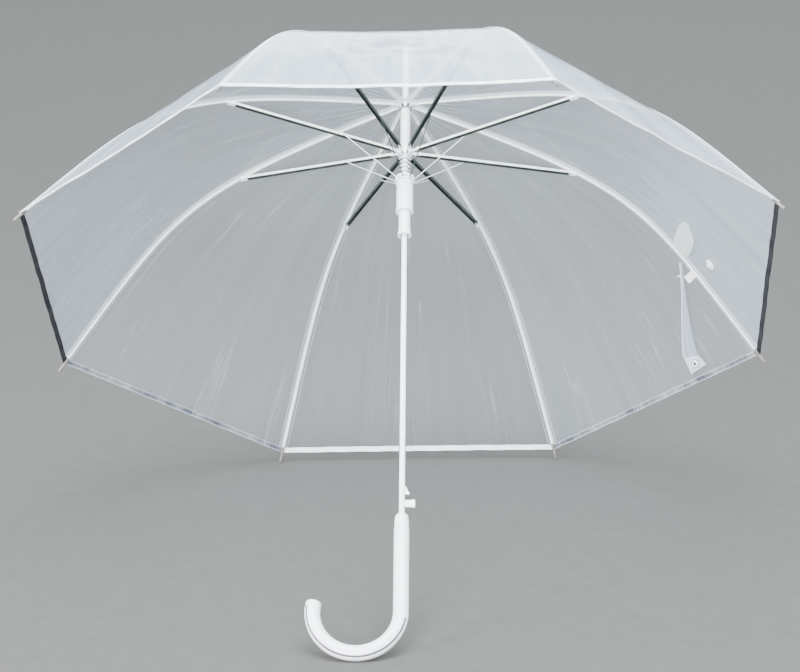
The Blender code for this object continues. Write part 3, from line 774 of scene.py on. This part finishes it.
def neck_rings():
    """Fine raised rings on the lower half of the hub's neck."""
    bm = bmesh.new()
    for i in range(9):
        height = -0.0365 - 0.0032 * i
        outline = [(0.0064, height), (0.00672, height - 0.0003)]
        outline += [(0.00672, height - 0.0009), (0.0064, height - 0.0012)]
        lathe(bm, outline, SHAFT, 40)
    tidy_normals(bm)
    # Painted shade on the undersides of the rings
    shade_below(bm, -0.5)
    piece("hub_neck_rings", bm, PLASTIC, "hub", 35, SHADE_GREY)


def channel_frame(k):
    """Stretcher k's frame: +X along its channel from the hub's pivot, +Z towards the film."""
    return rib_frame(k) @ Matrix.Translation(HUB_PIVOT) @ Matrix.Rotation(-CHANNEL_SLOPE, 4, "Y")


def rivets():
    """Rivet heads on each stretcher's fork and the pin that each link hooks on."""
    along = Vector((math.cos(CHANNEL_SLOPE), 0, math.sin(CHANNEL_SLOPE)))
    up = Vector((-math.sin(CHANNEL_SLOPE), 0, math.cos(CHANNEL_SLOPE)))
    for k in range(1, RIBS + 1):
        bm = bmesh.new()
        for y, face in ((0.0027, 1), (-0.0027, -1)):
            place = FORK - along * 0.0002 - up * 0.0018
            lie = Matrix.Translation((place.x, y, place.z)) @ Matrix.Rotation(-face * math.pi / 2, 4, "X")
            outline = [(0.0012, 0.0), (0.0012, 0.0003), (0.0009, 0.0006), (0.0004, 0.00075)]
            lathe(bm, outline, rib_frame(k) @ lie, 16)
        place = HUB_PIVOT + along * LINK_REACH - up * LINK_DROP
        lie = Matrix.Translation((place.x, 0.0021, place.z)) @ Matrix.Rotation(-math.pi / 2, 4, "X")
        outline = [(0.0009, 0.0), (0.0009, 0.00032), (0.0006, 0.00036)]
        lathe(bm, outline, rib_frame(k) @ lie, 14)
        piece(f"stretcher_rivets_{k}", tidy_normals(bm), STEEL, f"stretcher_body_{k}")


def smooth_cad(name, materials, angle=32):
    """A CAD node kept as it is, welded and smooth-shaded, with a better material."""
    obj = NODES[name]
    obj.data.materials.clear()
    for material in materials:
        obj.data.materials.append(material)
    for face in obj.data.polygons:
        face.use_smooth = True
    weld = obj.modifiers.new("Weld", "WELD")
    weld.merge_threshold = 0.00001
    split = obj.modifiers.new("Split", "EDGE_SPLIT")
    split.split_angle = math.radians(angle)
    return obj


def paint_groove_shade():
    """Painted shade: grey in the collar's groove and in the slots of the hub, the notch and the collar."""
    for name, inside, heights in (
        ("runner_collar", 0.0110, (-0.1145, -0.1165)),
        ("top_notch", 0.0090, (0.0020, -0.0060)),
        ("stretcher_hub", 0.0080, (-0.0672, -0.0770)),
    ):
        obj = smooth_cad(name, [PLASTIC, SHADE_GREY])
        back = SHAFT.inverted()
        for face in obj.data.polygons:
            middle = back @ face.center
            radius = math.hypot(middle.x, middle.y)
            if 0.0048 < radius < inside and heights[1] < middle.z < heights[0]:
                face.material_index = 1


def paint_channels():
    """Painted shade: dark insides for the stretchers' channels, and dark walls on the upper two and the
    lower two.
    """
    tongue_end, fork_start = 0.0086, 0.2255
    for k in range(1, RIBS + 1):
        obj = smooth_cad(f"stretcher_{k}", [CHANNEL, CHANNEL_SHADE, PLASTIC])
        back = channel_frame(k).inverted()
        turn = back.to_3x3()
        for face in obj.data.polygons:
            middle = back @ face.center
            normal = turn @ face.normal
            # Painted shade: the channel's inside, its lower edge, and the walls of the shaded stretchers
            inside = abs(middle.y) < 0.00165 and middle.z < 0.0008 and abs(normal.x) < 0.5
            low = middle.z < -0.0032
            wall = k in SHADED_WALLS and abs(normal.y) > 0.5
            if tongue_end < middle.x < fork_start and (inside or low or wall):
                face.material_index = 1
            elif middle.x > fork_start:
                face.material_index = 2


def channel_edges():
    """The rolled lower edges of each stretcher's channel, painted dark as shade."""
    for k in range(1, RIBS + 1):
        bm = bmesh.new()
        for y in (-0.0019, 0.0019):
            points = [(0.0125 + (CHANNEL_LENGTH - 0.0225) * i / 20, y, -0.0030) for i in range(21)]
            tube(bm, points, 0.00065, 10, channel_frame(k))
        tidy_normals(bm)
        piece(f"stretcher_edges_{k}", bm, CHANNEL_SHADE, f"stretcher_body_{k}")


def build_hardware():
    """Everything hard but the ribs: CAD nodes with better materials, and the detailed pieces on them."""
    for name in ("ferrule", "crown_cap", "handle_collar", "catch", "release_button"):
        smooth_cad(name, [PLASTIC])
    for name in ("hub_neck", "runner_body", "runner_sleeve"):
        smooth_cad(name, [PLASTIC])
    smooth_cad("shaft_tube", [ENAMEL])
    smooth_cad("leaf_spring", [STEEL])
    for k in range(1, RIBS + 1):
        # The shaded links are painted dark as shade
        smooth_cad(f"link_{k}", [CHANNEL_SHADE if k in SHADED_LINKS else WIRE], 60)
    paint_channels()
    channel_edges()
    paint_groove_shade()
    build_crook()
    build_spring()
    neck_rings()
    rivets()


# ---------------------------------------------------------------- strap, snap and tag


def film_place(t, side, depth, flip=1):
    """A place under the film beside the first rib: X down to the hem, Y across, Z out of the film."""
    reach = film_surface(t, 1.0).y
    inset = 0.7 * GAP / reach
    share = inset + side * (1 - 2 * inset)
    here = film_surface(t, share)
    along = film_surface(t + 0.002, share) - film_surface(t - 0.002, share)
    across = film_surface(t, share + 0.01) - film_surface(t, share)
    out = along.cross(across).normalized()
    along.normalize()
    across = out.cross(along)
    matrix = Matrix.Translation(here - out * depth) @ Matrix((along, across, out)).transposed().to_4x4()
    mirror = Matrix.Diagonal((1, flip, 1, 1))
    return rib_frame(1) @ mirror @ matrix @ mirror


def strap_place():
    """The strap's own frame: X from its root to its end."""
    root = film_place(*STRAP_ROOT, STRAP_DEPTH)
    tail = film_place(*STRAP_END, STRAP_DEPTH)
    down = (tail.translation - root.translation).normalized()
    out = tail.col[2].to_3d()
    out = (out - down * out.dot(down)).normalized()
    across = out.cross(down)
    return Matrix.Translation(root.translation) @ Matrix((down, across, out)).transposed().to_4x4()


def smooth_line(points, share):
    """A point at a share of a soft curve through points."""
    points = [Vector(point) for point in points]
    lengths = [0.0]
    for a, b in zip(points, points[1:]):
        lengths.append(lengths[-1] + (b - a).length)
    target = share * lengths[-1]
    i = max(j for j in range(len(points) - 1) if lengths[j] <= target)
    u = min(1.0, (target - lengths[i]) / (lengths[i + 1] - lengths[i]))
    before = points[max(i - 1, 0)]
    after = points[min(i + 2, len(points) - 1)]
    a, b = points[i], points[i + 1]
    first = (b - before) * u
    second = (2 * before - 5 * a + 4 * b - after) * u**2
    third = (3 * a - before - 3 * b + after) * u**3
    return 0.5 * (2 * a + first + second + third)


def flat_film(left, right, matrix, thickness, rise, offset=0.0, rows=40, columns=12):
    """A closed thin sheet between two side lines, with raised edges; rise(u, v) lifts it off its plane."""
    bm = bmesh.new()
    bm.verts.layers.float_vector.new("gore")
    rings = []
    places = []
    for i in range(rows + 1):
        u = i / rows
        a, b = smooth_line(left, u), smooth_line(right, u)
        top, bottom, spots = [], [], []
        for j in range(columns + 1):
            v = j / columns
            flat = a.lerp(b, v)
            edge = 1.0 + 0.5 * math.exp(-min(v, 1 - v) * 14)
            height = rise(u, v) + offset
            top.append(matrix @ Vector((flat.x, flat.y, height + thickness * edge / 2)))
            bottom.append(matrix @ Vector((flat.x, flat.y, height - thickness * edge / 2)))
            spots.append((0.5 * v + 3.3, 0.3 + 0.4 * u))
        rings.append(top + list(reversed(bottom)))
        places.append(spots + list(reversed(spots)))
    mark(bm, loft(bm, rings), places)
    return tidy_normals(bm)


def strap_rise(u, v):
    """The strap bows a little towards the open side, and its end curls across."""
    return -0.0010 * math.sin(math.pi * u) + 0.0005 * math.sin(math.pi * v) * u


def strap_rise_flat(u, v):
    """The tab's plane: the strap is nearly straight there."""
    return -0.0002 * (1 - u)


def patch_rise(u, v):
    """A fold half way along the short end, deepest at its left side."""
    fold = math.exp(-(((u - 0.52 - 0.16 * v) / 0.035) ** 2)) * max(0.0, 1 - v / 0.8)
    return -0.0011 * fold + 0.0004 * math.sin(math.pi * u)


def tag_rise(u, v):
    """The tag is a little curled."""
    return 0.0004 * math.sin(math.pi * u) - 0.0002 * math.cos(2 * math.pi * v)


# Side lines of the strap's long and short ends, from root to end in each one's own frame
STRAP_LEFT = (
    (0.0, 0.0020),
    (0.036, 0.0058),
    (0.080, 0.0138),
    (0.119, 0.0208),
    (0.132, 0.0205),
    (0.1556, 0.0131),
)
STRAP_RIGHT = (
    (0.0, -0.0020),
    (0.030, 0.0000),
    (0.070, 0.0010),
    (0.105, 0.0006),
    (0.128, -0.0023),
    (0.142, -0.0132),
)
TAB_LEFT = ((0.1325, 0.0195), (0.144, 0.0163), (0.1548, 0.0126))
TAB_RIGHT = ((0.1290, -0.0028), (0.1350, -0.0070), (0.1416, -0.0122))
PATCH_LEFT = (
    (-0.0161, -0.0018),
    (-0.0191, -0.0201),
    (-0.0214, -0.0465),
    (-0.0227, -0.0680),
    (-0.0195, -0.0815),
)
PATCH_RIGHT = (
    (0.0095, -0.0010),
    (0.0105, -0.0233),
    (0.0086, -0.0504),
    (0.0022, -0.0694),
    (-0.0125, -0.0865),
)
TAG_LEFT = ((-0.0055, -0.0080), (-0.0055, 0.0080))
TAG_RIGHT = ((0.0055, -0.0080), (0.0055, 0.0080))

# Outlines of the snap's parts, as (radius, height)
RING_OUTLINE = (
    (0.0025, -0.0003),
    (0.0025, -0.0018),
    (0.0031, -0.0021),
    (0.0042, -0.0017),
    (0.0048, -0.0007),
    (0.0048, 0.0001),
)
# A grey ring round the snap's ring: a painted shadow
SHADOW_RING_OUTLINE = ((0.0046, -0.0006), (0.0061, -0.0005), (0.0062, 0.0000), (0.0046, 0.0000))
WELL_OUTLINE = ((0.0025, -0.0006), (0.0024, -0.0013), (0.0004, -0.0013))
STUD_OUTLINE = (
    (0.0004, -0.0056),
    (0.0022, -0.0056),
    (0.0027, -0.0050),
    (0.0023, -0.0038),
    (0.0034, -0.0034),
    (0.0074, -0.0026),
    (0.0079, -0.0014),
    (0.0070, -0.0008),
)


def turned(outline, place):
    """One turned part of the snap."""
    bm = bmesh.new()
    lathe(bm, outline, place, 32)
    return tidy_normals(bm)


def strap_film():
    """The long end's sheet."""
    sheet = flat_film(STRAP_LEFT, STRAP_RIGHT, strap_place(), 0.0007, strap_rise)
    return piece("closure_strap_film", sheet, STRAP, "strap_body")


def strap_tab():
    """A second layer of film at the strap's end."""
    sheet = flat_film(TAB_LEFT, TAB_RIGHT, strap_place(), 0.0005, strap_rise_flat, -0.00045, 12, 12)
    return piece("strap_tab", sheet, TAB, "strap_body")


def strap_welt():
    """The thick edge along the strap's left side."""
    line = [smooth_line(STRAP_LEFT, i / 40) for i in range(41)]
    points = [(p.x, p.y - 0.0003, strap_rise(i / 40, 0)) for i, p in enumerate(line)]
    bm = bmesh.new()
    tube(bm, points, 0.00055, 8, strap_place())
    return piece("strap_welt", tidy_normals(bm), WELT, "strap_body")


def strap_thread():
    """The curled end of the thread that sews the strap on."""
    points = []
    for i in range(40):
        angle = 2 * math.pi * i / 13
        size = 0.0011 + 0.0004 * math.sin(i * 0.9)
        across = 0.0055 + size * math.cos(angle)
        points.append((0.018 + 0.00004 * i, across, -0.0004 + size * math.sin(angle)))
    points += [(0.0198, 0.0083, -0.0010), (0.0203, 0.0100, -0.0014)]
    bm = bmesh.new()
    tube(bm, points, 0.00035, 8, strap_place())
    return piece("strap_thread", tidy_normals(bm), PAPER, "strap_body", 60)


def build_strap():
    """The strap's long end, with its tab, welt, snap socket and thread."""
    strap = strap_film()
    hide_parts("closure_strap")
    tab = strap_tab()
    welt = strap_welt()
    centre = strap_place() @ Matrix.Translation((*SNAP_PLACE, -0.0011))
    ring, well, shadow_ring_mesh = [turned(outline, centre) for outline in (RING_OUTLINE, WELL_OUTLINE, SHADOW_RING_OUTLINE)]
    socket = piece("snap_ring", ring, PLASTIC, "strap_body", 50)
    # The snap's well, painted dark as shade
    hole = piece("snap_well", well, SNAP_WELL_SHADE, "strap_body", 50)
    # The painted shadow round the snap's ring
    shadow = piece("snap_shadow_ring", shadow_ring_mesh, SHADE_GREY, "strap_body", 50)
    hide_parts("snap_socket")
    thread = strap_thread()
    for obj in (strap, tab, welt, socket, hole, shadow, thread):
        flatten(obj)


def tongue_mesh():
    """The narrow strip under the film from the strap's short end to the stud."""
    start = (0.752, 0.10)
    bm = bmesh.new()
    bm.verts.layers.float_vector.new("gore")
    path, across, normals, places = [], [], [], []
    for i in range(17):
        share = i / 16
        t, side = [low + (high - low) * share for low, high in zip(start, STUD_PLACE)]
        spot = film_place(t, side, 0.0016, -1)
        path.append(spot @ Vector((-0.0045, 0, 0)))
        across.append(spot.to_3x3() @ Vector((1, 0, 0)))
        normals.append(spot.to_3x3() @ Vector((0, 0, 1)))
        places.append((2.2 + 0.4 * share, 0.4))
    strip(bm, path, across, normals, 0.0090, 0.0005, places)
    return tidy_normals(bm)


def build_patch():
    """The strap's short end, on the rib's other side, with the snap's stud."""
    place = film_place(*PATCH_PLACE, STRAP_DEPTH, -1)
    sheet = flat_film(PATCH_LEFT, PATCH_RIGHT, place, 0.0007, patch_rise)
    patch = piece("strap_patch_film", sheet, PATCH, "film_body_1b")
    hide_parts("strap_patch")
    tongue = piece("snap_stud_tail", tongue_mesh(), STRAP, "film_body_1b", 50)
    cap = turned(STUD_OUTLINE, film_place(*STUD_PLACE, 0.0, -1))
    stud = piece("snap_stud_cap", cap, PLASTIC, "film_body_1b", 50)
    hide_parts("snap_stud")
    for obj in (patch, stud, tongue):
        flatten(obj)


def build_tag():
    """The blank tag beside the rib."""
    sheet = flat_film(TAG_LEFT, TAG_RIGHT, film_place(*TAG_PLACE, TAG_DEPTH), 0.0004, tag_rise, 0.0, 16, 10)
    tag = piece("blank_tag_sheet", sheet, PAPER, "film_body_1a")
    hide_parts("blank_tag")
    flatten(tag)


# ---------------------------------------------------------------- stage


def build_floor():
    """A plain floor that the umbrella lies on."""
    bpy.ops.mesh.primitive_plane_add(size=14)
    floor = bpy.context.object
    floor.name = "floor"
    material, tree, shader = new_material("floor_paint", (0.080, 0.078, 0.075), 0.9)
    grain = noise_field(tree, 40.0, 6.0, 0.6)
    tones = ramp(tree, grain, [(0.3, (0.075, 0.073, 0.070)), (0.7, (0.085, 0.083, 0.080))])
    tree.links.new(tones, shader.inputs["Base Color"])
    floor.data.materials.append(material)


def build_world():
    """Studio light from all round, brighter from above."""
    world = bpy.data.worlds.new("studio")
    bpy.context.scene.world = world
    world.use_nodes = True
    tree = world.node_tree
    background = tree.nodes["Background"]
    sky = node(tree, "ShaderNodeTexCoord")
    split = node(tree, "ShaderNodeSeparateXYZ")
    tree.links.new(sky.outputs["Generated"], split.inputs[0])
    height = to_range(tree, split.outputs["Z"], 0.0, 1.0, -0.1, 0.9)
    stops = [
        (0.0, (0.30, 0.30, 0.31)),
        (0.18, (0.42, 0.44, 0.47)),
        (0.6, (0.85, 0.92, 1.0)),
        (1.0, (0.95, 1.0, 1.0)),
    ]
    tree.links.new(ramp(tree, height, stops), background.inputs["Color"])
    background.inputs["Strength"].default_value = 1.85


def area_light(name, place, target, size, power, colour):
    """A soft panel light that the camera doesn't see."""
    data = bpy.data.lights.new(name, "AREA")
    data.shape = "RECTANGLE"
    data.size, data.size_y = size
    data.energy = power
    data.color = colour
    light = bpy.data.objects.new(name, data)
    light.visible_camera = False
    bpy.context.scene.collection.objects.link(light)
    light.location = place
    light.rotation_euler = (Vector(target) - Vector(place)).to_track_quat("-Z", "Y").to_euler()


def build_camera():
    """The camera, turned into the row frame."""
    turn = SHAFT.to_3x3()
    right = (turn @ CAMERA_RIGHT).normalized()
    down = turn @ CAMERA_DOWN
    down = (down - right * down.dot(right)).normalized()
    back = right.cross(-down)
    data = bpy.data.cameras.new("camera")
    data.lens = CAMERA_LENS
    data.sensor_width = 36
    camera = bpy.data.objects.new("camera", data)
    bpy.context.scene.collection.objects.link(camera)
    basis = Matrix((right, -down, back)).transposed().to_4x4()
    camera.matrix_world = Matrix.Translation(SHAFT @ CAMERA_PLACE) @ basis
    bpy.context.scene.camera = camera


def build_stage():
    """Floor, light and camera."""
    build_floor()
    build_world()
    area_light("sky_panel", (0.2, -0.7, 3.2), (0, 0, 0.4), (2.6, 2.0), 320, (0.86, 0.94, 1.0))
    area_light("horizon_panel", (0.0, 4.2, 1.7), (0, 0, 0.6), (5.0, 1.8), 90, (0.93, 0.97, 1.0))
    area_light("front_panel", (-0.6, -4.6, 1.5), (0, 0, 0.3), (3.6, 1.8), 570, (0.98, 0.99, 1.0))
    area_light("key_panel", (-2.8, -1.8, 1.6), (0, 0, 0.3), (1.4, 1.2), 130, (1.0, 0.99, 0.97))
    build_camera()


build_hardware()
build_ribs()
build_canopy()
build_strap()
build_patch()
build_tag()
build_stage()

bpy.context.view_layer.update()
